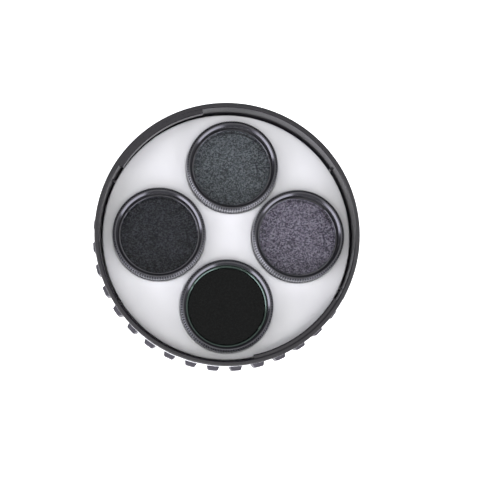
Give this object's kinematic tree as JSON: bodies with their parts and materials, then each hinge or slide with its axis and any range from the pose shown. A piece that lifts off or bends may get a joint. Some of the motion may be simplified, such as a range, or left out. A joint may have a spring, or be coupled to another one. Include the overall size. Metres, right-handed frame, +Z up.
{
  "type": "lens filter case",
  "caption": "Round twist-lock case, open, with knurled tinted-glass lens filters lying in the pockets of a white tray.",
  "frame": {"origin": "on the case's axis, on the plane that the case stands on", "axes": "+Z up out of the open case; +X towards the lightest filter; +Y towards the next one anticlockwise"},
  "size_m": [0.092, 0.092, 0.024],
  "materials": {
    "shell_white": "satin moulded polypropylene",
    "rim_charcoal": "satin moulded ABS",
    "grip_rubber": "matt thermoplastic elastomer",
    "tray_white": "smooth satin moulding",
    "pad_foam": "open-cell foam, coarse grain",
    "frame_black": "black anodised, straight knurl",
    "retainer_black": "black anodised",
    "glass_1": "neutral grey, lightest, violet cast",
    "glass_2": "neutral grey, green cast",
    "glass_3": "neutral grey, dark",
    "glass_4": "neutral grey, darkest, coated"
  },
  "bodies": {
    "case": {"grip_ring": "grip_rubber", "outer_shell": "shell_white", "bayonet_ring": "rim_charcoal", "tray": "tray_white", "pad_1": "pad_foam", "pad_2": "pad_foam", "pad_3": "pad_foam", "pad_4": "pad_foam"},
    "filter_1": {"filter_1_frame": "frame_black", "filter_1_glass": "glass_1", "filter_1_retainer": "retainer_black"},
    "filter_2": {"filter_2_frame": "frame_black", "filter_2_glass": "glass_2", "filter_2_retainer": "retainer_black"},
    "filter_3": {"filter_3_frame": "frame_black", "filter_3_glass": "glass_3", "filter_3_retainer": "retainer_black"},
    "filter_4": {"filter_4_frame": "frame_black", "filter_4_glass": "glass_4", "filter_4_retainer": "retainer_black"}
  },
  "joints": [
    {"name": "filter_1_lift", "type": "slide", "parent": "case", "child": "filter_1", "axis": [0, 0, 1], "range_m": [0, 0.02]},
    {"name": "filter_2_lift", "type": "slide", "parent": "case", "child": "filter_2", "axis": [0, 0, 1], "range_m": [0, 0.02]},
    {"name": "filter_3_lift", "type": "slide", "parent": "case", "child": "filter_3", "axis": [0, 0, 1], "range_m": [0, 0.02]},
    {"name": "filter_4_lift", "type": "slide", "parent": "case", "child": "filter_4", "axis": [0, 0, 1], "range_m": [0, 0.02]}
  ]
}
